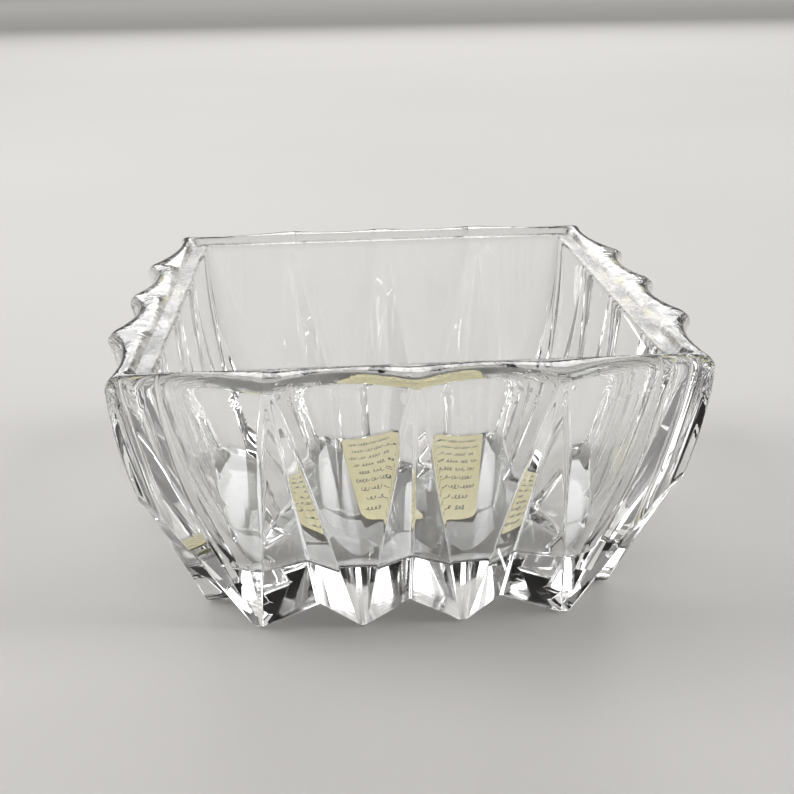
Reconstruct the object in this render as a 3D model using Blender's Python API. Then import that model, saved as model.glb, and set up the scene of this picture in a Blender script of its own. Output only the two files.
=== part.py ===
"""Square pressed-glass dappen dish with a paper label on the floor of its cavity.

The dish is one piece of glass. Its cavity is a square with bowed walls that
narrows to a floor with rounder corners. Each outer side is cut by three V grooves
that run from a bump on the rim down to a notch in the foot. They leave four hollow
panels, each ending below in a tooth. A shorter V groove takes off the lower part
of each corner. The lip swells a little above the flat band round the cavity. The
label is a sheet of paper that lies on the floor, against the back wall.

The foot stands on Z = 0, the axis of the dish is Z, and the sides face X and Y.
All sizes are in metres. Places on a side are given as (along, out): along the
side from its middle, and out from the axis.
"""
import math

import bmesh
import bpy

# Overall
HALF_WIDTH = 0.0355             # nose of a bump, out from the axis
RIM_HEIGHT = 0.0352             # foot to the flat band of the rim

# Rim
CORNER_HALF = HALF_WIDTH - 0.0027   # corner of the rim, out from the axis along X and Y
BUMP_PITCH = 0.440 * HALF_WIDTH     # between the noses of two bumps
PANEL_HOLLOW = 0.0019           # hollow of a middle panel between two bumps
OUTER_PANEL_HOLLOW = 0.0015     # hollow of a panel beside a corner
BAND_HALF = HALF_WIDTH - 0.0052     # outer edge of the flat band
BAND_CORNER = 0.0022            # corner radius of that edge
LIP_DROP = 0.0005               # widest line of the rim below the flat band
LIP_RISE = 0.0009               # crest of the rounded lip above the flat band
LIP_CREST = 0.5                 # place of the crest, as a share of the way in to the band
LIP_FULLNESS = 2.3              # power of the lip's outer curve: 2 is an ellipse, more is squarer
LIP_INNER_FULLNESS = 2.4        # power of its inner curve, which meets the band in a crease
INNER_LIP_ROUND = 0.0007        # radius of the inner lip

# Foot
FOOT_HALF = HALF_WIDTH - 0.0085     # tips of the middle teeth, out from the axis
NOTCH_HALF = FOOT_HALF - 0.0053     # notches of the sides, out from the axis
NOTCH_CORNER = FOOT_HALF - 0.0075   # corner notch, out from the axis along X and Y
TOOTH_INNER = (0.40 * BUMP_PITCH, FOOT_HALF)             # teeth beside the middle notch
TOOTH_OUTER = (1.225 * BUMP_PITCH, FOOT_HALF - 0.0008)   # teeth beside a corner
NOTCH_MIDDLE = (0.0, NOTCH_HALF)
NOTCH_SIDE = (0.75 * BUMP_PITCH, NOTCH_HALF)
TOOTH_TIP_HALF = 0.0004         # half width of a tooth's blunt tip
FOOT_ROUND = 0.0004             # rounding between the foot and the walls

# Grooves
LIP_START = RIM_HEIGHT - LIP_DROP      # top of the walls, where the side grooves run out
CORNER_GROOVE_TOP = 0.59 * RIM_HEIGHT   # height where the corner grooves run out
CORNER_GROOVE_HALF = CORNER_HALF - 0.0018   # corner of the dish at that height
CORNER_BEND = 1.8               # power of the corner's curve above its groove
GROOVE_TIP_HALF = 0.0006        # half width of a groove where it runs out
RIDGE_ROUND = 0.0008            # rounding of the ridges beside a groove
VALLEY_ROUND = 0.0004           # rounding in the bottom of a groove
ROUND_REACH = 0.4               # most of an edge that one rounding may take

# Cavity
CAVITY_HALF = BAND_HALF - 0.0020    # cavity at the rim, out from the axis
CAVITY_FLOOR_HALF = CAVITY_HALF - 0.0045    # cavity at the floor
CAVITY_CORNER = 0.0011          # corner radius at the rim
CAVITY_FLOOR_CORNER = 0.0065    # corner radius at the floor
CAVITY_BOW = 2.2                # power of the walls' curve: 1 is straight, more is fuller
FLOOR_ROUND = 0.0009            # fillet between the walls and the floor
BASE_THICKNESS = 0.0080         # foot to the cavity floor

# Label
FLOOR_FLAT_HALF = CAVITY_FLOOR_HALF - FLOOR_ROUND
LABEL_BACK_WIDTH = 1.12 * FLOOR_FLAT_HALF   # edge against the back wall, along X
LABEL_FRONT_WIDTH = 0.62 * FLOOR_FLAT_HALF  # edge towards the front
LABEL_LENGTH = 1.64 * FLOOR_FLAT_HALF       # along Y
LABEL_THICKNESS = 0.0002
LABEL_CORNER = 0.0008
LABEL_OFFSET = 0.0026           # its middle, to the right of the axis
LABEL_BACK_MARGIN = 0.0004      # from the flat of the floor's back edge
LABEL_CLEARANCE = 0.0003        # between the label and the glass

# Fineness of the shape
ROUND_STEPS = 3                 # points on a rounded ridge or valley
PANEL_STEPS = 4                 # points across a hollow panel
WALL_STEPS = 4                  # levels below, and again above, the corner grooves' top
LIP_STEPS = 4                   # levels on the outer lip
CAVITY_STEPS = 5                # levels on the cavity's walls
FILLET_STEPS = 2                # levels on the inner lip and on the floor's fillet
LABEL_CORNER_STEPS = 3          # edges on a rounded corner of the label
SHARP_ANGLE = math.radians(25)

OBJECT_NAME = "dappen_dish"
GLASS_COLOUR = (0.93, 0.95, 0.94, 1.0)
GLASS_ROUGHNESS = 0.03
GLASS_IOR = 1.52
PAPER_COLOUR = (0.80, 0.72, 0.47, 1.0)
PAPER_ROUGHNESS = 0.85
PAPER_IOR = 1.45


def mix(a, b, share):
    return tuple(p + (q - p) * share for p, q in zip(a, b))


def clamp(share):
    return min(max(share, 0.0), 1.0)


def corner_half(height):
    """The corner's edge, out from the axis, above the corner groove."""
    share = clamp((height - CORNER_GROOVE_TOP) / (RIM_HEIGHT - CORNER_GROOVE_TOP))
    bent = 1.0 - (1.0 - share) ** CORNER_BEND
    return CORNER_GROOVE_HALF + (CORNER_HALF - CORNER_GROOVE_HALF) * bent


def mirrored(point):
    return -point[0], point[1]


def shifted(point, distance):
    return point[0] + distance, point[1]


def side_groove(left_tooth, notch, right_tooth, nose, height):
    """Left edge, bottom and right edge of a side groove at one height."""
    rise = clamp(height / LIP_START)
    left = mix(shifted(left_tooth, TOOTH_TIP_HALF), shifted(nose, -GROOVE_TIP_HALF), rise)
    right = mix(shifted(right_tooth, -TOOTH_TIP_HALF), shifted(nose, GROOVE_TIP_HALF), rise)
    return left, mix(notch, nose, rise), right


def corner_groove(height):
    """Bottom and right edge of the groove at a side's left corner."""
    rise = clamp(height / CORNER_GROOVE_TOP)
    half = corner_half(height)
    bottom = mix((-NOTCH_CORNER, NOTCH_CORNER), (-half, half), rise)
    tooth = shifted(mirrored(TOOTH_OUTER), -TOOTH_TIP_HALF)
    edge = mix(tooth, (-half + GROOVE_TIP_HALF, half), rise)
    return bottom, edge


def hollow(start, end, depth):
    """Points across a panel that is hollowed towards the axis."""
    points = []
    for step in range(1, PANEL_STEPS + 1):
        share = step / (PANEL_STEPS + 1)
        along, out = mix(start, end, share)
        points.append(((along, out - depth * 4.0 * share * (1.0 - share)), 0.0))
    return points


def side_outline(height):
    """One side from its left corner to its right one, as points with their rounding."""
    grooves = [
        side_groove(mirrored(TOOTH_OUTER), mirrored(NOTCH_SIDE), mirrored(TOOTH_INNER),
                    (-BUMP_PITCH, HALF_WIDTH), height),
        side_groove(mirrored(TOOTH_INNER), NOTCH_MIDDLE, TOOTH_INNER, (0.0, HALF_WIDTH), height),
        side_groove(TOOTH_INNER, NOTCH_SIDE, TOOTH_OUTER, (BUMP_PITCH, HALF_WIDTH), height),
    ]
    bottom, edge = corner_groove(height)
    rise = clamp(height / RIM_HEIGHT)
    depths = [OUTER_PANEL_HOLLOW, PANEL_HOLLOW, PANEL_HOLLOW, OUTER_PANEL_HOLLOW]
    points = [(bottom, VALLEY_ROUND), (edge, RIDGE_ROUND)]
    start = edge
    for (left, valley, right), depth in zip(grooves, depths):
        points += hollow(start, left, depth * rise)
        points += [(left, RIDGE_ROUND), (valley, VALLEY_ROUND), (right, RIDGE_ROUND)]
        start = right
    points += hollow(start, mirrored(edge), depths[-1] * rise)
    points.append((mirrored(edge), RIDGE_ROUND))
    return points


def rounded_point(before, point, after, radius):
    """Replaces a corner of an outline by ROUND_STEPS points of a small curve."""
    to_before = math.dist(point, before)
    to_after = math.dist(point, after)
    reach = min(radius, ROUND_REACH * to_before, ROUND_REACH * to_after)
    start = mix(point, before, reach / to_before)
    end = mix(point, after, reach / to_after)
    steps = [step / (ROUND_STEPS - 1) for step in range(ROUND_STEPS)]
    return [mix(mix(start, point, share), mix(point, end, share), share) for share in steps]


def on_side(turn, along, out):
    """A place on the front side (turn 0) or on one of the next three, anticlockwise."""
    cosine = round(math.cos(turn * math.pi / 2))
    sine = round(math.sin(turn * math.pi / 2))
    return along * cosine + out * sine, along * sine - out * cosine


def wall_outline(height):
    """The outside of the dish at one height, anticlockwise from the front left corner."""
    corners = []
    for turn in range(4):
        for (along, out), radius in side_outline(height):
            corners.append((on_side(turn, along, out), radius))
    outline = []
    for index, (place, radius) in enumerate(corners):
        if radius == 0.0:
            outline.append(place)
            continue
        before = corners[index - 1][0]
        after = corners[(index + 1) % len(corners)][0]
        outline += rounded_point(before, place, after, radius)
    return outline


def outline_shares(outline):
    """Each point's share of the way round, from the front left corner."""
    lengths = [0.0]
    for index, point in enumerate(outline):
        after = outline[(index + 1) % len(outline)]
        lengths.append(lengths[-1] + math.dist(point, after))
    start = lengths[ROUND_STEPS - 1] / 2
    return [((length - start) / lengths[-1]) % 1.0 for length in lengths[:-1]]


def rounded_square(half, radius, shares):
    """Points on a square with rounded corners, at the given shares of the way round."""
    arc = math.pi * radius / 4
    inner = half - radius
    side = 2.0 * arc + 2.0 * inner
    points = []
    for share in shares:
        turn = int(share * 4.0)
        length = (share * 4.0 - turn) * side
        if length < arc:
            angle = math.pi / 4 - length / radius
            along = -inner - radius * math.sin(angle)
            out = inner + radius * math.cos(angle)
        elif length < arc + 2.0 * inner:
            along = length - arc - inner
            out = half
        else:
            angle = (length - arc - 2.0 * inner) / radius
            along = inner + radius * math.sin(angle)
            out = inner + radius * math.cos(angle)
        points.append(on_side(turn, along, out))
    return points


def at_height(outline, height):
    return [(x, y, height) for x, y in outline]


def foot_ring():
    """The edge of the foot's flat underside, moved in from the walls by the rounding."""
    middle = (0.0, 0.0)
    outline = [mix(point, middle, FOOT_ROUND / math.dist(point, middle))
               for point in wall_outline(0.0)]
    return at_height(outline, 0.0)


def levels(bottom, top):
    """WALL_STEPS even heights from the bottom up, without the top itself."""
    return [bottom + (top - bottom) * step / WALL_STEPS for step in range(WALL_STEPS)]


def wall_rings():
    heights = levels(FOOT_ROUND, CORNER_GROOVE_TOP) + levels(CORNER_GROOVE_TOP, LIP_START)
    return [at_height(wall_outline(height), height) for height in heights]


def rim_rings(shares):
    """The lip, which swells above the flat band, and then the band and its inner edge."""
    wall_top = wall_outline(LIP_START)
    band = rounded_square(BAND_HALF, BAND_CORNER, shares)
    power = 2.0 / LIP_FULLNESS
    profile = []
    for step in range(LIP_STEPS + 1):
        angle = math.pi / 2 * step / LIP_STEPS
        inward = LIP_CREST * (1.0 - math.cos(angle) ** power)
        profile.append((inward, (LIP_DROP + LIP_RISE) * math.sin(angle) ** power - LIP_DROP))
    for step in range(1, LIP_STEPS + 1):
        share = step / LIP_STEPS
        inward = LIP_CREST + (1.0 - LIP_CREST) * share
        profile.append((inward, LIP_RISE * (1.0 - share ** LIP_INNER_FULLNESS)))
    rings = []
    for inward, up in profile:
        ring = [mix(low, high, inward) for low, high in zip(wall_top, band)]
        rings.append(at_height(ring, RIM_HEIGHT + up))
    for step in range(FILLET_STEPS + 1):
        angle = math.pi / 2 * step / FILLET_STEPS
        grow = INNER_LIP_ROUND * (1.0 - math.sin(angle))
        outline = rounded_square(CAVITY_HALF + grow, CAVITY_CORNER + grow, shares)
        height = RIM_HEIGHT - INNER_LIP_ROUND * (1.0 - math.cos(angle))
        rings.append(at_height(outline, height))
    return rings


def cavity_rings(shares):
    """The bowed walls from the inner lip down, then the fillet round the floor."""
    top = RIM_HEIGHT - INNER_LIP_ROUND
    bottom = BASE_THICKNESS + FLOOR_ROUND
    rings = []
    for step in range(1, CAVITY_STEPS):
        share = step / CAVITY_STEPS
        half = CAVITY_HALF + (CAVITY_FLOOR_HALF - CAVITY_HALF) * share ** CAVITY_BOW
        corner = CAVITY_CORNER + (CAVITY_FLOOR_CORNER - CAVITY_CORNER) * share
        rings.append(at_height(rounded_square(half, corner, shares), top + (bottom - top) * share))
    for step in range(FILLET_STEPS + 1):
        angle = math.pi / 2 * step / FILLET_STEPS
        half = CAVITY_FLOOR_HALF - FLOOR_ROUND * (1.0 - math.cos(angle))
        corner = CAVITY_FLOOR_CORNER - FLOOR_ROUND * (1.0 - math.cos(angle))
        height = BASE_THICKNESS + FLOOR_ROUND * (1.0 - math.sin(angle))
        rings.append(at_height(rounded_square(half, corner, shares), height))
    return rings


def loft(name, rings):
    """One closed body through outlines of equal point count, capped at both ends."""
    mesh = bpy.data.meshes.new(name)
    loops = bmesh.new()
    rows = [[loops.verts.new(point) for point in ring] for ring in rings]
    for lower, upper in zip(rows, rows[1:]):
        for index in range(len(lower)):
            after = (index + 1) % len(lower)
            loops.faces.new((lower[index], lower[after], upper[after], upper[index]))
    loops.faces.new(list(reversed(rows[0])))
    loops.faces.new(rows[-1])
    loops.to_mesh(mesh)
    loops.free()
    mesh.shade_smooth()
    mesh.set_sharp_from_angle(angle=SHARP_ANGLE)
    return bpy.data.objects.new(name, mesh)


def make_glass_dish():
    shares = outline_shares(wall_outline(RIM_HEIGHT))
    rings = [foot_ring()] + wall_rings() + rim_rings(shares) + cavity_rings(shares)
    return loft("glass_dish", rings)


def make_paper_label():
    """A thin sheet, narrower towards the front, with rounded corners."""
    mesh = bpy.data.meshes.new("paper_label")
    sheet = bmesh.new()
    bmesh.ops.create_cube(sheet, size=1.0)
    for corner in sheet.verts:
        width = LABEL_BACK_WIDTH if corner.co.y > 0.0 else LABEL_FRONT_WIDTH
        corner.co.x *= width
        corner.co.y *= LABEL_LENGTH
        corner.co.z *= LABEL_THICKNESS
    upright = [edge for edge in sheet.edges
               if abs(edge.verts[0].co.z - edge.verts[1].co.z) > LABEL_THICKNESS / 2]
    bmesh.ops.bevel(sheet, geom=upright, offset=LABEL_CORNER, segments=LABEL_CORNER_STEPS,
                    profile=0.5, affect="EDGES")
    sheet.to_mesh(mesh)
    sheet.free()
    label = bpy.data.objects.new("paper_label", mesh)
    back_edge = FLOOR_FLAT_HALF - LABEL_BACK_MARGIN
    height = BASE_THICKNESS + LABEL_CLEARANCE + LABEL_THICKNESS / 2
    label.location = (LABEL_OFFSET, back_edge - LABEL_LENGTH / 2, height)
    return label


def make_material(name, colour, roughness, ior, transmission):
    material = bpy.data.materials.new(name)
    material.use_nodes = True
    material.diffuse_color = colour
    shader = material.node_tree.nodes["Principled BSDF"]
    shader.inputs["Base Color"].default_value = colour
    shader.inputs["Roughness"].default_value = roughness
    shader.inputs["Metallic"].default_value = 0.0
    shader.inputs["Transmission Weight"].default_value = transmission
    shader.inputs["IOR"].default_value = ior
    return material


def main():
    for thing in list(bpy.data.objects):
        bpy.data.objects.remove(thing, do_unlink=True)
    collection = bpy.data.collections.new(OBJECT_NAME)
    bpy.context.scene.collection.children.link(collection)

    dish = make_glass_dish()
    glass = make_material("clear_glass", GLASS_COLOUR, GLASS_ROUGHNESS, GLASS_IOR, 1.0)
    dish.data.materials.append(glass)
    label = make_paper_label()
    paper = make_material("aged_paper", PAPER_COLOUR, PAPER_ROUGHNESS, PAPER_IOR, 0.0)
    label.data.materials.append(paper)
    for piece in (dish, label):
        collection.objects.link(piece)


main()
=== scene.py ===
"""Looks of a square pressed-glass dappen dish with a yellowed paper label lying in it.

The glass is drawn up ring by ring from a round blank: foot, fluted walls, swollen lip,
flat band, then down the cavity to its floor. Its faces carry the slow waves of pressed
glass. The label is a hand-cut sheet with lifted corners, and its pen strokes are loops
that spell nothing. Places on a side of the dish are (along, out): along the side from
its middle, and out from the axis. Everything is in metres.
"""
import math

import bmesh
import bpy
from mathutils import Matrix, Vector, noise


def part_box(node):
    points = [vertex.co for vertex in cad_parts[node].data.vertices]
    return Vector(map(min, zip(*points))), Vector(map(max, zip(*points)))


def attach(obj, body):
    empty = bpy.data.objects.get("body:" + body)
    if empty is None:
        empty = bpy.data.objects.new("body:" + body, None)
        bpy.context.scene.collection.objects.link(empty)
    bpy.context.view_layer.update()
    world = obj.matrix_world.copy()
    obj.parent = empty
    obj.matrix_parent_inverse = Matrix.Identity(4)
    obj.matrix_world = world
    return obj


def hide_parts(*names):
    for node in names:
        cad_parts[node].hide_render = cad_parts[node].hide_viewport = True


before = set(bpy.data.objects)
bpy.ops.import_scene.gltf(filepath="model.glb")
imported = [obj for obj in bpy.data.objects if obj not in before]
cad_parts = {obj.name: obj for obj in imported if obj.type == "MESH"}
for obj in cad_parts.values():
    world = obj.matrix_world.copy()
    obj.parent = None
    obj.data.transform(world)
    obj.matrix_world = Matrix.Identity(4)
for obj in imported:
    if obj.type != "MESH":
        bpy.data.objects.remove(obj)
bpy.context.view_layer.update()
glass_low, glass_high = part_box("glass_dish")
label_low, label_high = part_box("paper_label")

# Glass: the driving sizes come from the frame
HALF_WIDTH = glass_high.x           # nose of a bump, out from the axis
LIP_RISE = 0.0009                   # crest of the lip above the flat band
RIM_HEIGHT = glass_high.z - LIP_RISE
LIP_DROP = 0.0005                   # widest line of the rim below the flat band
LIP_START = RIM_HEIGHT - LIP_DROP
LIP_CREST = 0.5                     # place of the crest, as a share of the way to the band
LIP_FULLNESS = 2.3                  # power of the lip's outer curve: 2 is an ellipse
LIP_INNER_FULLNESS = 2.4            # power of its inner curve, which meets the band in a crease
CORNER_HALF = HALF_WIDTH - 0.0027   # corner of the rim, out from the axis along X and Y
BUMP_PITCH = 0.44 * HALF_WIDTH      # between the noses of two bumps
PANEL_HOLLOW = 0.0019               # hollow of a middle panel between two bumps
OUTER_PANEL_HOLLOW = 0.0015         # hollow of a panel beside a corner
BAND_HALF = HALF_WIDTH - 0.0052     # outer edge of the flat band
BAND_CORNER = 0.0022                # corner radius of that edge
INNER_LIP_ROUND = 0.0007            # radius between the band and the cavity

FOOT_HALF = HALF_WIDTH - 0.0085     # tips of the middle teeth, out from the axis
NOTCH_HALF = FOOT_HALF - 0.0053     # notches of the sides, out from the axis
NOTCH_CORNER = FOOT_HALF - 0.0075   # corner notch, out from the axis along X and Y
TOOTH_INNER = (0.40 * BUMP_PITCH, FOOT_HALF)
TOOTH_OUTER = (1.225 * BUMP_PITCH, FOOT_HALF - 0.0008)
NOTCH_MIDDLE = (0.0, NOTCH_HALF)
NOTCH_SIDE = (0.75 * BUMP_PITCH, NOTCH_HALF)
TOOTH_TIP_HALF = 0.0004             # half width of a tooth's blunt tip
FOOT_ROUND = 0.0004                 # rounding between the foot and the walls

CORNER_GROOVE_TOP = 0.59 * RIM_HEIGHT       # height where the corner grooves run out
CORNER_GROOVE_HALF = CORNER_HALF - 0.0018   # corner of the dish at that height
CORNER_BEND = 1.8                   # power of the corner's curve above its groove
GROOVE_TIP_HALF = 0.0006            # half width of a groove where it runs out
RIDGE_ROUND = 0.0008                # rounding of the ridges beside a groove
VALLEY_ROUND = 0.0004               # rounding in the bottom of a groove
ROUND_REACH = 0.4                   # most of an edge that one rounding may take

CAVITY_HALF = BAND_HALF - 0.0020    # cavity at the rim, out from the axis
CAVITY_FLOOR_HALF = CAVITY_HALF - 0.0045    # cavity at the floor
CAVITY_CORNER = 0.0011              # corner radius at the rim
CAVITY_FLOOR_CORNER = 0.0065        # corner radius at the floor
CAVITY_BOW = 2.2                    # power of the walls' curve: 1 is straight, more is fuller
FLOOR_ROUND = 0.0009                # fillet between the walls and the floor
LABEL_CLEARANCE = 0.0003            # between the floor and the frame's label
FLOOR_HEIGHT = label_low.z - LABEL_CLEARANCE

# Fineness of the glass
ROUND_STEPS = 5                     # points on a rounded ridge or valley
PANEL_STEPS = 9                     # points across a hollow panel
WALL_STEPS = 18                     # rings below, and again above, the corner grooves' top
CAVITY_STEPS = 30                   # rings on the cavity's walls
LIP_STEPS = 7                       # rings on each half of the lip
FILLET_STEPS = 5                    # rings on the inner lip and on the floor's fillet
FLAT_EDGE = 0.0006                  # width of the level strip round a flat end
SHARP_ANGLE = math.radians(25)

# Slow waves of pressed glass, which fade out towards the foot, the lip and the floor
WALL_WAVE_HEIGHT = 0.000035
WALL_WAVE_LENGTH = 0.0085
WALL_WAVE_FROM_FOOT = 0.003
WALL_WAVE_FROM_LIP = 0.002
CAVITY_WAVE_HEIGHT = 0.000045
CAVITY_WAVE_LENGTH = 0.0095
CAVITY_WAVE_FADE = 8.0              # the waves are full after 1 / 8 of the wall

# Label
LABEL_MIDDLE = (label_low.x + label_high.x) / 2
LABEL_LENGTH = label_high.y - label_low.y
LABEL_TAPER = 0.55                  # width of the front edge, as a share of the back edge
PAPER_THICKNESS = 0.00012
PAPER_GAP = 0.00004                 # air under the flat of the sheet
PAPER_ROWS = 44
PAPER_COLUMNS = 34
PAPER_CORNER = 0.0005               # how far a cut corner is taken in
CORNER_START_ACROSS = 0.85          # where that begins, as a share of the half width
CORNER_START_ALONG = 0.90           # and of the half length
CUT_WANDER = 0.00012                # unevenness of the cut edges
CUT_WANDER_LENGTH = 0.004
CORNER_LIFT = 0.0009                # how high the front corners stand off the floor
CORNER_LIFT_REACH = 0.0065
FRONT_CORNERS = ((-1.0, 1.0), (1.0, 0.55))      # side and share of the lift
PAPER_RIPPLE = 0.00006

# Pen strokes
PEN_RADIUS = 0.00011
PEN_FLATNESS = 0.2
PEN_LIFT = 0.00001                  # of the strokes' middle above the sheet
PEN_HEIGHT = 0.00105                # of a word's loops
PEN_SPACE = 0.0013                  # between two words
PEN_INDENT = 0.0012                 # middle of the rows' uneven starts
WORD_WIDTH = 0.0034
WORD_WIDTH_SPREAD = 0.0016
LEAST_WORD = 0.002                  # no word starts with less room than this
PEN_ROWS = 9
PEN_MARGIN = 0.0018
LOOP_POINTS = 12
LOOP_PITCH = 1.1                    # width of a loop, as a share of its height
LOOP_ROUND = 0.45                   # swing to and fro, as a share of its height
PEN_SLANT = 0.25


def mix(a, b, share):
    return tuple(p + (q - p) * share for p, q in zip(a, b))


def clamp(share):
    return min(max(share, 0.0), 1.0)


def ease(share):
    share = clamp(share)
    return share * share * (3.0 - 2.0 * share)


# ---------------------------------------------------------------- outlines of the glass

def corner_half(height):
    """The corner's edge, out from the axis, above the corner groove."""
    share = clamp((height - CORNER_GROOVE_TOP) / (RIM_HEIGHT - CORNER_GROOVE_TOP))
    bent = 1.0 - (1.0 - share) ** CORNER_BEND
    return CORNER_GROOVE_HALF + (CORNER_HALF - CORNER_GROOVE_HALF) * bent


def mirrored(point):
    return -point[0], point[1]


def shifted(point, distance):
    return point[0] + distance, point[1]


def side_groove(left_tooth, notch, right_tooth, nose, height):
    """Left edge, bottom and right edge of a side groove at one height."""
    rise = clamp(height / LIP_START)
    left = mix(shifted(left_tooth, TOOTH_TIP_HALF), shifted(nose, -GROOVE_TIP_HALF), rise)
    right = mix(shifted(right_tooth, -TOOTH_TIP_HALF), shifted(nose, GROOVE_TIP_HALF), rise)
    return left, mix(notch, nose, rise), right


def corner_groove(height):
    """Bottom and right edge of the groove at a side's left corner."""
    rise = clamp(height / CORNER_GROOVE_TOP)
    half = corner_half(height)
    bottom = mix((-NOTCH_CORNER, NOTCH_CORNER), (-half, half), rise)
    tooth = shifted(mirrored(TOOTH_OUTER), -TOOTH_TIP_HALF)
    edge = mix(tooth, (-half + GROOVE_TIP_HALF, half), rise)
    return bottom, edge


def hollow(start, end, depth):
    """Points across a panel that is hollowed towards the axis."""
    points = []
    for step in range(1, PANEL_STEPS + 1):
        share = step / (PANEL_STEPS + 1)
        along, out = mix(start, end, share)
        points.append(((along, out - depth * 4.0 * share * (1.0 - share)), 0.0))
    return points


def side_outline(height):
    """One side from its left corner to its right one, as points with their rounding."""
    grooves = [
        side_groove(mirrored(TOOTH_OUTER), mirrored(NOTCH_SIDE), mirrored(TOOTH_INNER),
                    (-BUMP_PITCH, HALF_WIDTH), height),
        side_groove(mirrored(TOOTH_INNER), NOTCH_MIDDLE, TOOTH_INNER, (0.0, HALF_WIDTH), height),
        side_groove(TOOTH_INNER, NOTCH_SIDE, TOOTH_OUTER, (BUMP_PITCH, HALF_WIDTH), height),
    ]
    bottom, edge = corner_groove(height)
    rise = clamp(height / RIM_HEIGHT)
    depths = [OUTER_PANEL_HOLLOW, PANEL_HOLLOW, PANEL_HOLLOW, OUTER_PANEL_HOLLOW]
    points = [(bottom, VALLEY_ROUND), (edge, RIDGE_ROUND)]
    start = edge
    for (left, valley, right), depth in zip(grooves, depths):
        points += hollow(start, left, depth * rise)
        points += [(left, RIDGE_ROUND), (valley, VALLEY_ROUND), (right, RIDGE_ROUND)]
        start = right
    points += hollow(start, mirrored(edge), depths[-1] * rise)
    points.append((mirrored(edge), RIDGE_ROUND))
    return points


def rounded_point(before, point, after, radius):
    """A corner of an outline as ROUND_STEPS points of a small curve."""
    to_before = math.dist(point, before)
    to_after = math.dist(point, after)
    reach = min(radius, ROUND_REACH * to_before, ROUND_REACH * to_after)
    start = mix(point, before, reach / to_before)
    end = mix(point, after, reach / to_after)
    steps = [step / (ROUND_STEPS - 1) for step in range(ROUND_STEPS)]
    return [mix(mix(start, point, share), mix(point, end, share), share) for share in steps]


def turned(along, out, turn):
    """A place on the front side, turned by quarter turns about the axis."""
    cosine = round(math.cos(turn * math.pi / 2))
    sine = round(math.sin(turn * math.pi / 2))
    return along * cosine + out * sine, along * sine - out * cosine


def wall_outline(height):
    """The outside of the dish at one height, anticlockwise from the front left corner."""
    corners = [(turned(along, out, turn), radius)
               for turn in range(4) for (along, out), radius in side_outline(height)]
    outline = []
    for index, (place, radius) in enumerate(corners):
        if radius == 0.0:
            outline.append(place)
            continue
        before = corners[index - 1][0]
        after = corners[(index + 1) % len(corners)][0]
        outline += rounded_point(before, place, after, radius)
    return outline


def outline_shares(outline):
    """Each point's share of the way round, from the front left corner."""
    lengths = [0.0]
    for index, point in enumerate(outline):
        after = outline[(index + 1) % len(outline)]
        lengths.append(lengths[-1] + math.dist(point, after))
    start = lengths[ROUND_STEPS - 1] / 2
    return [((length - start) / lengths[-1]) % 1.0 for length in lengths[:-1]]


def rounded_square(half, radius, shares):
    """Points on a square with rounded corners, at the given shares of the way round."""
    arc = math.pi * radius / 4
    straight = 2.0 * (half - radius)
    side = 2.0 * arc + straight
    points = []
    for share in shares:
        turn = int(share * 4.0)
        length = (share * 4.0 - turn) * side
        if length < arc:
            angle = math.pi / 4 - length / radius
            along = radius - half - radius * math.sin(angle)
            out = half - radius + radius * math.cos(angle)
        elif length < arc + straight:
            along = radius - half + length - arc
            out = half
        else:
            angle = (length - arc - straight) / radius
            along = half - radius + radius * math.sin(angle)
            out = half - radius + radius * math.cos(angle)
        points.append(turned(along, out, turn))
    return points


def at_height(outline, height):
    return [(x, y, height) for x, y in outline]


def drawn_in(outline, distance):
    """Each point moved by one distance towards the axis."""
    return [mix(point, (0.0, 0.0), distance / math.hypot(*point)) for point in outline]


def waved(ring, height, length):
    """A ring pushed in and out by the slow waves of the glass."""
    moved = []
    for point in ring:
        place = Vector(point)
        away = Vector((place.x, place.y, 0.0)).normalized()
        moved.append(tuple(place + away * height * noise.noise(place / length)))
    return moved


def levels(bottom, top):
    """WALL_STEPS even heights from the bottom up, without the top itself."""
    return [bottom + (top - bottom) * step / WALL_STEPS for step in range(WALL_STEPS)]


def wall_rings():
    """The edge of the foot's flat underside, then the fluted walls up to the lip."""
    foot = wall_outline(0.0)
    rings = [at_height(drawn_in(foot, FOOT_ROUND + FLAT_EDGE), 0.0),
             at_height(drawn_in(foot, FOOT_ROUND), 0.0)]
    for height in levels(FOOT_ROUND, CORNER_GROOVE_TOP) + levels(CORNER_GROOVE_TOP, LIP_START):
        from_foot = ease(height / WALL_WAVE_FROM_FOOT)
        from_lip = ease((LIP_START - height) / WALL_WAVE_FROM_LIP)
        ring = at_height(wall_outline(height), height)
        rings.append(waved(ring, WALL_WAVE_HEIGHT * from_foot * from_lip, WALL_WAVE_LENGTH))
    return rings


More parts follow.
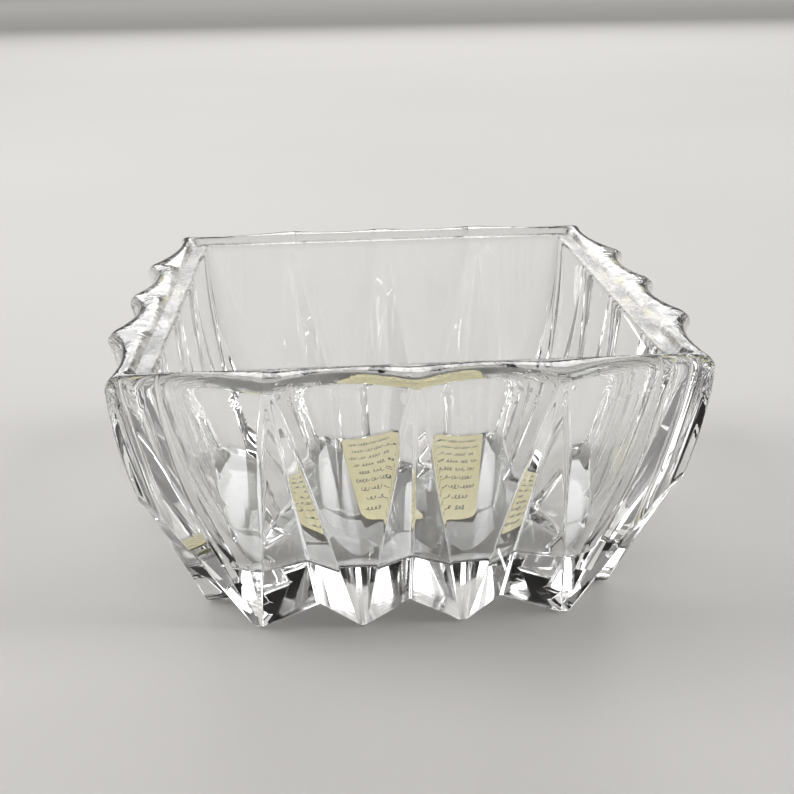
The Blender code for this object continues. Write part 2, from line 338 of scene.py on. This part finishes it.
def rim_rings(shares):
    """The lip, which swells above the flat band, and then the band and its inner edge."""
    wall_top = wall_outline(LIP_START)
    band = rounded_square(BAND_HALF, BAND_CORNER, shares)
    power = 2.0 / LIP_FULLNESS
    profile = []
    for step in range(LIP_STEPS + 1):
        angle = math.pi / 2 * step / LIP_STEPS
        inward = LIP_CREST * (1.0 - math.cos(angle) ** power)
        profile.append((inward, (LIP_DROP + LIP_RISE) * math.sin(angle) ** power - LIP_DROP))
    for step in range(1, LIP_STEPS + 1):
        share = step / LIP_STEPS
        inward = LIP_CREST + (1.0 - LIP_CREST) * share
        profile.append((inward, LIP_RISE * (1.0 - share ** LIP_INNER_FULLNESS)))
    rings = []
    for inward, up in profile:
        ring = [mix(low, high, inward) for low, high in zip(wall_top, band)]
        rings.append(at_height(ring, RIM_HEIGHT + up))
    for step in range(FILLET_STEPS + 1):
        angle = math.pi / 2 * step / FILLET_STEPS
        grow = INNER_LIP_ROUND * (1.0 - math.sin(angle))
        outline = rounded_square(CAVITY_HALF + grow, CAVITY_CORNER + grow, shares)
        height = RIM_HEIGHT - INNER_LIP_ROUND * (1.0 - math.cos(angle))
        rings.append(at_height(outline, height))
    return rings


def cavity_rings(shares):
    """The bowed walls from the inner lip down, the fillet, and the edge of the floor."""
    top = RIM_HEIGHT - INNER_LIP_ROUND
    bottom = FLOOR_HEIGHT + FLOOR_ROUND
    rings = []
    for step in range(1, CAVITY_STEPS):
        share = step / CAVITY_STEPS
        half = CAVITY_HALF + (CAVITY_FLOOR_HALF - CAVITY_HALF) * share ** CAVITY_BOW
        corner = CAVITY_CORNER + (CAVITY_FLOOR_CORNER - CAVITY_CORNER) * share
        ring = at_height(rounded_square(half, corner, shares), top + (bottom - top) * share)
        from_lip = ease(CAVITY_WAVE_FADE * share)
        from_floor = ease(CAVITY_WAVE_FADE * (1.0 - share))
        wave = CAVITY_WAVE_HEIGHT * from_lip * from_floor
        rings.append(waved(ring, wave, CAVITY_WAVE_LENGTH))
    for step in range(FILLET_STEPS + 1):
        angle = math.pi / 2 * step / FILLET_STEPS
        shrink = FLOOR_ROUND * (1.0 - math.cos(angle))
        outline = rounded_square(CAVITY_FLOOR_HALF - shrink, CAVITY_FLOOR_CORNER - shrink, shares)
        rings.append(at_height(outline, FLOOR_HEIGHT + FLOOR_ROUND * (1.0 - math.sin(angle))))
    half = CAVITY_FLOOR_HALF - FLOOR_ROUND - FLAT_EDGE
    outline = rounded_square(half, CAVITY_FLOOR_CORNER - FLOOR_ROUND, shares)
    rings.append(at_height(outline, FLOOR_HEIGHT))
    return rings


# ---------------------------------------------------------------- modelling by hand

def select_only(piece):
    bpy.ops.object.select_all(action="DESELECT")
    piece.select_set(True)
    bpy.context.view_layer.objects.active = piece


def named(piece, name):
    piece.name = piece.data.name = name
    return piece


def start_edit(piece):
    """Opens one piece for editing, with nothing else selected."""
    select_only(piece)
    bpy.ops.object.mode_set(mode="EDIT")
    return bmesh.from_edit_mesh(piece.data)


def end_edit():
    """Turns all faces outwards and leaves edit mode."""
    bpy.ops.mesh.select_all(action="SELECT")
    bpy.ops.mesh.normals_make_consistent(inside=False)
    bpy.ops.object.mode_set(mode="OBJECT")


def apply_modifier(piece, kind, **settings):
    modifier = piece.modifiers.new(kind.lower(), kind)
    for name, value in settings.items():
        setattr(modifier, name, value)
    select_only(piece)
    bpy.ops.object.modifier_apply(modifier=modifier.name)


def place_in_mesh(piece):
    """Puts a piece's place into its mesh, so its object sits at the origin."""
    select_only(piece)
    bpy.ops.object.transform_apply(location=True, rotation=True, scale=True)


def lay_ring(blank, ring):
    """Moves the selected edge of the blank onto the next outline, point by point."""
    edge = sorted((vert for vert in blank.verts if vert.select), key=lambda vert: vert.index)
    for vert, point in zip(edge, ring):
        vert.co = point


def make_glass():
    """Draws the dish up from a round blank, one outline at a time."""
    shares = outline_shares(wall_outline(RIM_HEIGHT))
    rings = wall_rings() + rim_rings(shares) + cavity_rings(shares)
    bpy.ops.object.select_all(action="DESELECT")
    bpy.ops.mesh.primitive_circle_add(vertices=len(shares), radius=FOOT_HALF, fill_type="NGON")
    piece = named(bpy.context.object, "pressed_glass")
    blank = start_edit(piece)
    bpy.ops.mesh.select_all(action="SELECT")
    bpy.ops.mesh.flip_normals()
    lay_ring(blank, rings[0])
    for ring in rings[1:]:
        bpy.ops.mesh.select_mode(type="EDGE")
        bpy.ops.mesh.extrude_edges_move()
        blank = bmesh.from_edit_mesh(piece.data)
        blank.verts.index_update()
        lay_ring(blank, ring)
    bpy.ops.mesh.edge_face_add()
    end_edit()
    bpy.ops.object.shade_smooth_by_angle(angle=SHARP_ANGLE)
    return piece


# ---------------------------------------------------------------- label

def paper_half_width(y):
    """Half the width of the sheet, which is cut narrower towards the front."""
    share = (y - label_low.y) / LABEL_LENGTH
    back = (label_high.x - label_low.x) / 2
    front = back * LABEL_TAPER
    cut = CUT_WANDER * noise.noise(Vector((3.0, y / CUT_WANDER_LENGTH, 0.0)))
    return front + (back - front) * share + cut


def paper_height(x, y):
    """Underside of the sheet: flat on the floor, with its front corners lifted."""
    lift = 0.0
    for side, amount in FRONT_CORNERS:
        corner = (LABEL_MIDDLE + side * paper_half_width(label_low.y), label_low.y)
        near = clamp(1.0 - math.dist((x, y), corner) / CORNER_LIFT_REACH)
        lift += amount * CORNER_LIFT * near * near
    ripple = PAPER_RIPPLE * (1.0 + noise.noise(Vector((x / 0.009, y / 0.011, 0.7))))
    return FLOOR_HEIGHT + PAPER_GAP + ripple + lift


def make_paper():
    """A sheet cut by hand, thickened, with soft corners."""
    centre = Vector((LABEL_MIDDLE, (label_low.y + label_high.y) / 2, 0.0))
    bpy.ops.object.select_all(action="DESELECT")
    bpy.ops.mesh.primitive_grid_add(x_subdivisions=PAPER_COLUMNS, y_subdivisions=PAPER_ROWS,
                                    size=1.0, location=centre)
    piece = named(bpy.context.object, "label_paper")
    piece.scale = (1.0, LABEL_LENGTH, 1.0)
    place_in_mesh(piece)
    sheet = start_edit(piece)
    for vert in sheet.verts:
        across = 2.0 * (vert.co.x - LABEL_MIDDLE)
        y = vert.co.y
        along = 2.0 * (y - label_low.y) / LABEL_LENGTH - 1.0
        near_side = ease((abs(across) - CORNER_START_ACROSS) / (1.0 - CORNER_START_ACROSS))
        near_end = ease((abs(along) - CORNER_START_ALONG) / (1.0 - CORNER_START_ALONG))
        corner = PAPER_CORNER * near_side * near_end
        y -= math.copysign(corner, along)
        x = LABEL_MIDDLE + across * paper_half_width(y) - math.copysign(corner, across)
        vert.co = (x, y, paper_height(x, y))
    end_edit()
    apply_modifier(piece, "SOLIDIFY", thickness=PAPER_THICKNESS, offset=1.0)
    bpy.ops.object.shade_smooth_by_angle(angle=SHARP_ANGLE)
    return piece


def pen_word(start, width, phase):
    """One run of joined loops that spells nothing, leaning forwards."""
    points = []
    loops = max(2, round(width / (LOOP_PITCH * PEN_HEIGHT)))
    steps = loops * LOOP_POINTS
    for step in range(steps + 1):
        share = step / steps
        angle = 2.0 * math.pi * loops * share + phase
        unevenness = noise.noise(Vector((loops * share * 0.9, phase, 2.0)))
        tall = PEN_HEIGHT * (0.55 + 0.45 * unevenness)
        y = start[1] + tall * math.sin(angle)
        swing = LOOP_ROUND * PEN_HEIGHT * math.cos(angle)
        x = start[0] + width * share + swing + PEN_SLANT * (y - start[1])
        points.append((x, y))
    return points


def pen_words():
    """Rows of such runs down the sheet, with uneven starts and widths."""
    words = []
    pitch = (LABEL_LENGTH - 2.0 * PEN_MARGIN) / PEN_ROWS
    for row in range(PEN_ROWS):
        y = label_high.y - PEN_MARGIN - pitch * (row + 0.5)
        half = paper_half_width(y) - PEN_MARGIN
        x = LABEL_MIDDLE - half + PEN_INDENT * (1.0 + math.sin(2.1 * row))
        end = LABEL_MIDDLE + half
        word = 0
        while x < end - LEAST_WORD:
            width = WORD_WIDTH + WORD_WIDTH_SPREAD * math.sin(1.7 * row + 2.3 * word)
            width = min(width, end - x)
            words.append(pen_word((x, y), width, 1.3 * row + 0.7 * word))
            x += width + PEN_SPACE
            word += 1
    return words


def make_pen_strokes():
    """Thin flat strokes that lie on the sheet."""
    drawing = bpy.data.curves.new("pen_strokes", "CURVE")
    drawing.dimensions = "3D"
    drawing.bevel_depth = PEN_RADIUS
    drawing.bevel_resolution = 1
    drawing.use_fill_caps = True
    for word in pen_words():
        spline = drawing.splines.new("POLY")
        spline.points.add(len(word) - 1)
        for point, (x, y) in zip(spline.points, word):
            point.co = (x, y, paper_height(x, y) + PAPER_THICKNESS, 1.0)
            point.radius = 0.75 + 0.5 * abs(noise.noise(Vector((x / 0.0013, y / 0.0013, 5.0))))
    piece = bpy.data.objects.new("pen_strokes", drawing)
    bpy.context.scene.collection.objects.link(piece)
    select_only(piece)
    bpy.ops.object.convert(target="MESH")
    piece = named(bpy.context.object, "pen_strokes")
    drawn = start_edit(piece)
    for vert in drawn.verts:
        top = paper_height(vert.co.x, vert.co.y) + PAPER_THICKNESS
        vert.co.z = top + PEN_FLATNESS * (vert.co.z - top) + PEN_LIFT
    end_edit()
    bpy.ops.object.shade_smooth()
    return piece


# ---------------------------------------------------------------- materials

def new_group(name, inputs, outputs):
    group = bpy.data.node_groups.new(name, "ShaderNodeTree")
    for label, kind, value in inputs:
        socket = group.interface.new_socket(name=label, in_out="INPUT", socket_type=kind)
        if value is not None:
            socket.default_value = value
    for label, kind in outputs:
        group.interface.new_socket(name=label, in_out="OUTPUT", socket_type=kind)
    return group, group.nodes.new("NodeGroupInput"), group.nodes.new("NodeGroupOutput")


class Board:
    """A node tree with short calls for the nodes that the finishes use."""

    def __init__(self, tree):
        self.tree = tree

    def node(self, kind, **settings):
        made = self.tree.nodes.new(kind)
        for name, value in settings.items():
            setattr(made, name, value)
        return made

    def feed(self, socket, value):
        if isinstance(value, bpy.types.NodeSocket):
            self.tree.links.new(value, socket)
        else:
            socket.default_value = value

    def math(self, operation, first, second=0.0, third=0.0):
        made = self.node("ShaderNodeMath", operation=operation)
        for socket, value in zip(made.inputs, (first, second, third)):
            self.feed(socket, value)
        return made.outputs[0]

    def between(self, value, low, high):
        """0 below low, 1 above high, eased in between. Low may be above high."""
        made = self.node("ShaderNodeMapRange", interpolation_type="SMOOTHSTEP")
        self.feed(made.inputs["Value"], value)
        flipped = low > high
        self.feed(made.inputs["From Min"], min(low, high))
        self.feed(made.inputs["From Max"], max(low, high))
        self.feed(made.inputs["To Min"], 1.0 if flipped else 0.0)
        self.feed(made.inputs["To Max"], 0.0 if flipped else 1.0)
        return made.outputs["Result"]

    def blend(self, share, first, second):
        """A colour between two colours."""
        made = self.node("ShaderNodeMix", data_type="RGBA")
        self.feed(made.inputs[0], share)
        self.feed(made.inputs[6], first)
        self.feed(made.inputs[7], second)
        return made.outputs[2]

    def bump(self, height, distance, strength, normal=None):
        made = self.node("ShaderNodeBump")
        self.feed(made.inputs["Height"], height)
        made.inputs["Distance"].default_value = distance
        made.inputs["Strength"].default_value = strength
        if normal is not None:
            self.feed(made.inputs["Normal"], normal)
        return made.outputs["Normal"]

    def call(self, group, **values):
        made = self.node("ShaderNodeGroup", node_tree=group)
        for name, value in values.items():
            self.feed(made.inputs[name], value)
        return made.outputs


def mottle_group():
    """Soft patches: 0 to 1, of a given size."""
    group, entry, end = new_group(
        "soft_patches",
        [("Place", "NodeSocketVector", None), ("Fineness", "NodeSocketFloat", 100.0),
         ("Detail", "NodeSocketFloat", 3.0), ("Distortion", "NodeSocketFloat", 0.0)],
        [("Patches", "NodeSocketFloat")])
    board = Board(group)
    cloud = board.node("ShaderNodeTexNoise")
    board.feed(cloud.inputs["Vector"], entry.outputs["Place"])
    board.feed(cloud.inputs["Scale"], entry.outputs["Fineness"])
    board.feed(cloud.inputs["Detail"], entry.outputs["Detail"])
    board.feed(cloud.inputs["Distortion"], entry.outputs["Distortion"])
    board.feed(end.inputs["Patches"], board.between(cloud.outputs["Fac"], 0.3, 0.7))
    return group


def hairline_group():
    """Thin lines that wander along the first direction of Place: hair scratches or fibres."""
    group, entry, end = new_group(
        "hairlines",
        [("Place", "NodeSocketVector", None), ("Fineness", "NodeSocketFloat", 1000.0),
         ("Stretch", "NodeSocketFloat", 0.15)],
        [("Lines", "NodeSocketFloat")])
    board = Board(group)
    squeeze = board.node("ShaderNodeCombineXYZ")
    board.feed(squeeze.inputs["X"], entry.outputs["Stretch"])
    squeeze.inputs["Y"].default_value = 1.0
    squeeze.inputs["Z"].default_value = 1.0
    drawn = board.node("ShaderNodeVectorMath", operation="MULTIPLY")
    board.feed(drawn.inputs[0], entry.outputs["Place"])
    board.feed(drawn.inputs[1], squeeze.outputs[0])
    cloud = board.node("ShaderNodeTexNoise")
    board.feed(cloud.inputs["Vector"], drawn.outputs[0])
    board.feed(cloud.inputs["Scale"], entry.outputs["Fineness"])
    cloud.inputs["Detail"].default_value = 4.0
    cloud.inputs["Distortion"].default_value = 0.6
    off_middle = board.math("ABSOLUTE", board.math("SUBTRACT", cloud.outputs["Fac"], 0.5))
    board.feed(end.inputs["Lines"], board.between(off_middle, 0.035, 0.0))
    return group


def new_material(name, colour):
    material = bpy.data.materials.new(name)
    material.use_nodes = True
    material.diffuse_color = colour
    board = Board(material.node_tree)
    shader = material.node_tree.nodes["Principled BSDF"]
    place = board.node("ShaderNodeTexCoord").outputs["Object"]
    return material, board, shader, place


CLEAR = (0.985, 0.990, 0.985, 1.0)
HAZED = (0.955, 0.962, 0.955, 1.0)
GLASS_IOR = 1.52
POLISHED = 0.003                # roughness of the fire-polished walls
HAZE_ROUGHNESS = 0.005          # added where the glass is hazy
BAND_ROUGHNESS = 0.14           # added on the flat band
WORN_ROUGHNESS = 0.16           # added again in its scuffs and scratches
FOOT_ROUGHNESS = 0.15           # added in the scuffs under the foot
FOOT_WEAR_TOP = 0.0012          # how far up from the table those scuffs reach
LIP_DEPTH = 0.0060              # how far down the outside the chill lines reach
CHILL_LINES = 90.0
CHILL_DEPTH = 0.00002
SCORE_DEPTH = 0.00002


def glass_material(patches, hairlines):
    """Clear pressed glass: polished, rippled under the lip, scuffed on the flat band."""
    material, board, shader, place = new_material("clear_pressed_glass", CLEAR)
    split = board.node("ShaderNodeSeparateXYZ")
    board.feed(split.inputs[0], place)
    x, y, z = split.outputs
    far_x = board.math("ABSOLUTE", x)
    far_y = board.math("ABSOLUTE", y)
    out = board.math("MAXIMUM", far_x, far_y)
    facing_y = board.math("GREATER_THAN", far_y, far_x)
    along = board.node("ShaderNodeMix", data_type="FLOAT")
    board.feed(along.inputs[0], facing_y)
    board.feed(along.inputs[2], y)
    board.feed(along.inputs[3], x)
    on_side = board.node("ShaderNodeCombineXYZ")
    board.feed(on_side.inputs["X"], along.outputs[0])
    board.feed(on_side.inputs["Y"], out)
    board.feed(on_side.inputs["Z"], z)

    # Where the wear lies: the flat band, the outside of the lip, and under the foot
    top = board.between(z, RIM_HEIGHT - LIP_DROP, RIM_HEIGHT - 0.0001)
    inner = board.between(out, BAND_HALF + 0.0009, BAND_HALF + 0.0001)
    band = board.math("MULTIPLY", top, inner)
    lip = board.between(z, RIM_HEIGHT - LIP_DEPTH, RIM_HEIGHT - LIP_DROP)
    outside = board.between(out, BAND_HALF - 0.0008, BAND_HALF + 0.0004)
    foot = board.between(z, FOOT_WEAR_TOP, 0.0)

    scuffs = board.call(patches, Place=on_side.outputs[0], Fineness=420.0, Detail=5.0,
                        Distortion=1.5)[0]
    scratches = board.call(hairlines, Place=on_side.outputs[0], Fineness=900.0, Stretch=0.35)[0]
    haze = board.call(patches, Place=place, Fineness=70.0, Detail=2.0)[0]

    worn = board.math("MULTIPLY", band, board.math("MAXIMUM", scuffs, scratches))
    polish = board.math("MULTIPLY_ADD", haze, HAZE_ROUGHNESS, POLISHED)
    rough = board.math("MULTIPLY_ADD", band, BAND_ROUGHNESS, polish)
    rough = board.math("MULTIPLY_ADD", worn, WORN_ROUGHNESS, rough)
    rough = board.math("MULTIPLY_ADD", board.math("MULTIPLY", foot, scuffs), FOOT_ROUGHNESS, rough)
    board.feed(shader.inputs["Roughness"], rough)
    worn_tint = board.math("MULTIPLY", worn, 0.8)
    haze_tint = board.math("MULTIPLY", haze, 0.25)
    tint = board.math("MAXIMUM", worn_tint, haze_tint)
    board.feed(shader.inputs["Base Color"], board.blend(tint, CLEAR, HAZED))

    swirl = board.node("ShaderNodeTexNoise")
    board.feed(swirl.inputs["Vector"], on_side.outputs[0])
    swirl.inputs["Scale"].default_value = 170.0
    swirl.inputs["Detail"].default_value = 1.0
    swirl.inputs["Distortion"].default_value = 0.8
    chill = board.math("SINE", board.math("MULTIPLY", swirl.outputs["Fac"], CHILL_LINES))
    chill = board.math("MULTIPLY", chill, board.math("MULTIPLY", lip, outside))
    normal = board.bump(chill, CHILL_DEPTH, 0.18)
    scored = board.math("MULTIPLY", band, board.math("ADD", scuffs, scratches))
    normal = board.bump(scored, SCORE_DEPTH, 0.3, normal)
    board.feed(shader.inputs["Normal"], normal)

    shader.inputs["Metallic"].default_value = 0.0
    shader.inputs["Transmission Weight"].default_value = 1.0
    shader.inputs["IOR"].default_value = GLASS_IOR
    return material


CREAM = (0.940, 0.870, 0.530, 1.0)
FOXED = (0.740, 0.620, 0.330, 1.0)
BLEACHED = (0.950, 0.910, 0.680, 1.0)
INK = (0.012, 0.012, 0.018, 1.0)
FADED_INK = (0.060, 0.052, 0.050, 1.0)
PALE_FLOOR = (0.615, 0.600, 0.580, 1.0)
PALE_FLOOR_DEEP = (0.605, 0.590, 0.570, 1.0)


def paper_material(patches, hairlines):
    """Yellowed paper with bleached patches, foxing and fibres."""
    material, board, shader, place = new_material("yellowed_paper", CREAM)
    foxing = board.call(patches, Place=place, Fineness=260.0, Detail=4.0, Distortion=0.5)[0]
    fading = board.call(patches, Place=place, Fineness=60.0, Detail=2.0)[0]
    fibres = board.call(hairlines, Place=place, Fineness=1500.0, Stretch=0.5)[0]
    colour = board.blend(board.math("MULTIPLY", fading, 0.6), CREAM, BLEACHED)
    colour = board.blend(board.math("MULTIPLY", foxing, 0.25), colour, FOXED)
    colour = board.blend(board.math("MULTIPLY", fibres, 0.18), colour, FOXED)
    board.feed(shader.inputs["Base Color"], colour)
    board.feed(shader.inputs["Roughness"], board.math("MULTIPLY_ADD", foxing, 0.12, 0.78))
    normal = board.bump(fibres, 0.00002, 0.4)
    normal = board.bump(foxing, 0.00004, 0.3, normal)
    board.feed(shader.inputs["Normal"], normal)
    return material


def ink_material(patches):
    """Pen ink that thins and breaks up along the strokes."""
    material, board, shader, place = new_material("pen_ink", INK)
    thin = board.call(patches, Place=place, Fineness=900.0, Detail=3.0)[0]
    faded = board.math("MULTIPLY", thin, 0.7)
    board.feed(shader.inputs["Base Color"], board.blend(faded, INK, FADED_INK))
    board.feed(shader.inputs["Roughness"], board.math("MULTIPLY_ADD", thin, 0.25, 0.5))
    board.feed(shader.inputs["Normal"], board.bump(thin, 0.00001, 0.3))
    return material


def floor_material(patches):
    """A plain pale table top, hardly clouded."""
    material, board, shader, place = new_material("pale_table", PALE_FLOOR)
    cloud = board.call(patches, Place=place, Fineness=5.0, Detail=1.0)[0]
    board.feed(shader.inputs["Base Color"], board.blend(cloud, PALE_FLOOR, PALE_FLOOR_DEEP))
    board.feed(shader.inputs["Roughness"], board.math("MULTIPLY_ADD", cloud, 0.02, 0.60))
    shader.inputs["Specular IOR Level"].default_value = 0.30
    return material


# ---------------------------------------------------------------- studio

def aim(thing, place, target):
    thing.location = place
    thing.rotation_euler = (Vector(target) - Vector(place)).to_track_quat("-Z", "Y").to_euler()


def softbox(name, place, size, power, target=(0.0, 0.0, RIM_HEIGHT / 2)):
    light = bpy.data.lights.new(name, "AREA")
    light.shape = "RECTANGLE"
    light.size, light.size_y = size
    light.energy = power
    holder = bpy.data.objects.new(name, light)
    bpy.context.scene.collection.objects.link(holder)
    aim(holder, place, target)


FLOOR_SIZE = 12.0
FLOOR_GAP = 0.0001              # between the floor and the foot
AIR_COLOUR = (0.42, 0.41, 0.40, 1.0)
AIR_STRENGTH = 0.62


def make_studio(patches):
    """Floor, even air, and soft lights at the back, far off, left and right."""
    bpy.ops.object.select_all(action="DESELECT")
    bpy.ops.mesh.primitive_plane_add(size=FLOOR_SIZE, location=(0.0, 0.0, -FLOOR_GAP))
    floor = bpy.context.object
    floor.name = "studio_floor"
    floor.data.materials.append(floor_material(patches))

    world = bpy.data.worlds.new("studio_air")
    world.use_nodes = True
    air = world.node_tree.nodes["Background"]
    air.inputs["Color"].default_value = AIR_COLOUR
    air.inputs["Strength"].default_value = AIR_STRENGTH
    bpy.context.scene.world = world

    softbox("back_softbox", (0.10, 1.30, 0.72), (1.7, 0.65), 10.5)
    softbox("far_softbox", (0.0, 3.70, 1.60), (7.0, 3.2), 46.0, target=(0.0, 3.70, 0.0))
    softbox("left_softbox", (-0.70, 0.05, 0.50), (0.36, 0.66), 4.6)
    softbox("right_softbox", (0.75, -0.20, 0.65), (0.32, 0.52), 3.8)
    bpy.context.scene.view_settings.view_transform = "Standard"


CAMERA_PLACE = (-0.0081, -0.1366, 0.0750)
CAMERA_HEADING = math.radians(3.397)
CAMERA_DIP = math.radians(22.048)
CAMERA_ROLL = math.radians(1.002)
CAMERA_LENS = 47.33
SENSOR_WIDTH = 36.0
NEAREST_SEEN = 0.002


def make_camera():
    data = bpy.data.cameras.new("camera")
    data.sensor_width = SENSOR_WIDTH
    data.lens = CAMERA_LENS
    data.clip_start = NEAREST_SEEN
    camera = bpy.data.objects.new("camera", data)
    bpy.context.scene.collection.objects.link(camera)
    camera.matrix_world = (Matrix.Translation(CAMERA_PLACE)
                           @ Matrix.Rotation(-CAMERA_HEADING, 4, "Z")
                           @ Matrix.Rotation(math.pi / 2 - CAMERA_DIP, 4, "X")
                           @ Matrix.Rotation(-CAMERA_ROLL, 4, "Z"))
    bpy.context.scene.camera = camera


# ---------------------------------------------------------------- all together

patches_group = mottle_group()
hairlines_group = hairline_group()

glass = make_glass()
glass.data.materials.append(glass_material(patches_group, hairlines_group))
paper = make_paper()
paper.data.materials.append(paper_material(patches_group, hairlines_group))
strokes = make_pen_strokes()
strokes.data.materials.append(ink_material(patches_group))

for piece, slot in ((glass, "clear_glass"), (paper, "aged_paper"), (strokes, "aged_paper")):
    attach(piece, "root")
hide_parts("glass_dish")
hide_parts("paper_label")

make_studio(patches_group)
make_camera()
